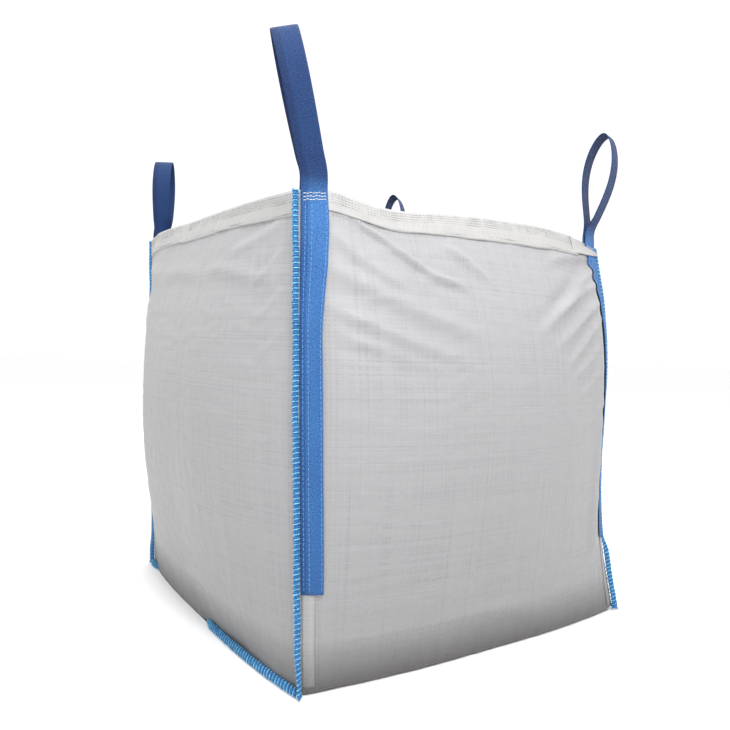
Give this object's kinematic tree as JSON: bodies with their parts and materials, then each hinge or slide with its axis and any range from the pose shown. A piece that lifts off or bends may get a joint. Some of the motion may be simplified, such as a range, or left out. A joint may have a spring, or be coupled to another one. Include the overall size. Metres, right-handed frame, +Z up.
{
  "type": "bulk bag",
  "caption": "Open-top woven bulk bag standing full and hollow, with webbing lifting loops sewn beside its corner seams.",
  "frame": {"origin": "on the floor, under the middle of the bag", "axes": "+Z up to the open top; the front panel of the U-shaped cloth faces -Y; the sewn-in side panels face -X and +X"},
  "size_m": [1.0998, 1.1626, 1.2621],
  "materials": {
    "woven_cloth": "satin woven polypropylene",
    "hem_cloth": "folded woven polypropylene",
    "webbing": "ribbed polypropylene webbing",
    "seam_thread": "chunky overlock thread",
    "white_thread": "twisted sewing thread"
  },
  "bodies": {
    "root": {"u_panel": "woven_cloth", "side_panel_left": "woven_cloth", "base_seam_left": "seam_thread", "side_panel_right": "woven_cloth", "base_seam_right": "seam_thread", "rim_hem_front": "hem_cloth", "hem_stitch_front": "white_thread", "rim_hem_right": "hem_cloth", "hem_stitch_right": "white_thread", "rim_hem_back": "hem_cloth", "hem_stitch_back": "white_thread", "rim_hem_left": "hem_cloth", "hem_stitch_left": "white_thread", "corner_seam_front_left": "seam_thread", "corner_seam_front_right": "seam_thread", "corner_seam_back_right": "seam_thread", "corner_seam_back_left": "seam_thread", "strap_outer_front_left": "webbing", "strap_inner_front_left": "webbing", "strap_stitch_front_left": "white_thread", "loop_tack_front_left": "white_thread", "strap_outer_front_right": "webbing", "strap_inner_front_right": "webbing", "strap_stitch_front_right": "white_thread", "loop_tack_front_right": "white_thread", "strap_outer_back_right": "webbing", "strap_inner_back_right": "webbing", "strap_stitch_back_right": "white_thread", "loop_tack_back_right": "white_thread", "strap_outer_back_left": "webbing", "strap_inner_back_left": "webbing", "strap_stitch_back_left": "white_thread", "loop_tack_back_left": "white_thread"},
    "loop_front_left": {"lift_loop_front_left": "webbing"},
    "loop_front_right": {"lift_loop_front_right": "webbing"},
    "loop_back_right": {"lift_loop_back_right": "webbing"},
    "loop_back_left": {"lift_loop_back_left": "webbing"}
  },
  "joints": [
    {"name": "loop_front_left_swing", "type": "hinge", "parent": "root", "child": "loop_front_left", "pos_m": [-0.42474, -0.48714, 0.97208], "axis": [0.9063, -0.4226, 0], "range_deg": [-125, 105]},
    {"name": "loop_front_right_swing", "type": "hinge", "parent": "root", "child": "loop_front_right", "pos_m": [0.38893, -0.44083, 0.9515], "axis": [0.9272, 0.3746, 0], "range_deg": [-140, 115]},
    {"name": "loop_back_right_swing", "type": "hinge", "parent": "root", "child": "loop_back_right", "pos_m": [0.42075, 0.46916, 0.97361], "axis": [-0.9135, -0.4067, 0], "range_deg": [-80, 110]},
    {"name": "loop_back_left_swing", "type": "hinge", "parent": "root", "child": "loop_back_left", "pos_m": [-0.41984, 0.48587, 0.99221], "axis": [-0.9744, 0.225, 0], "range_deg": [-80, 120]}
  ]
}
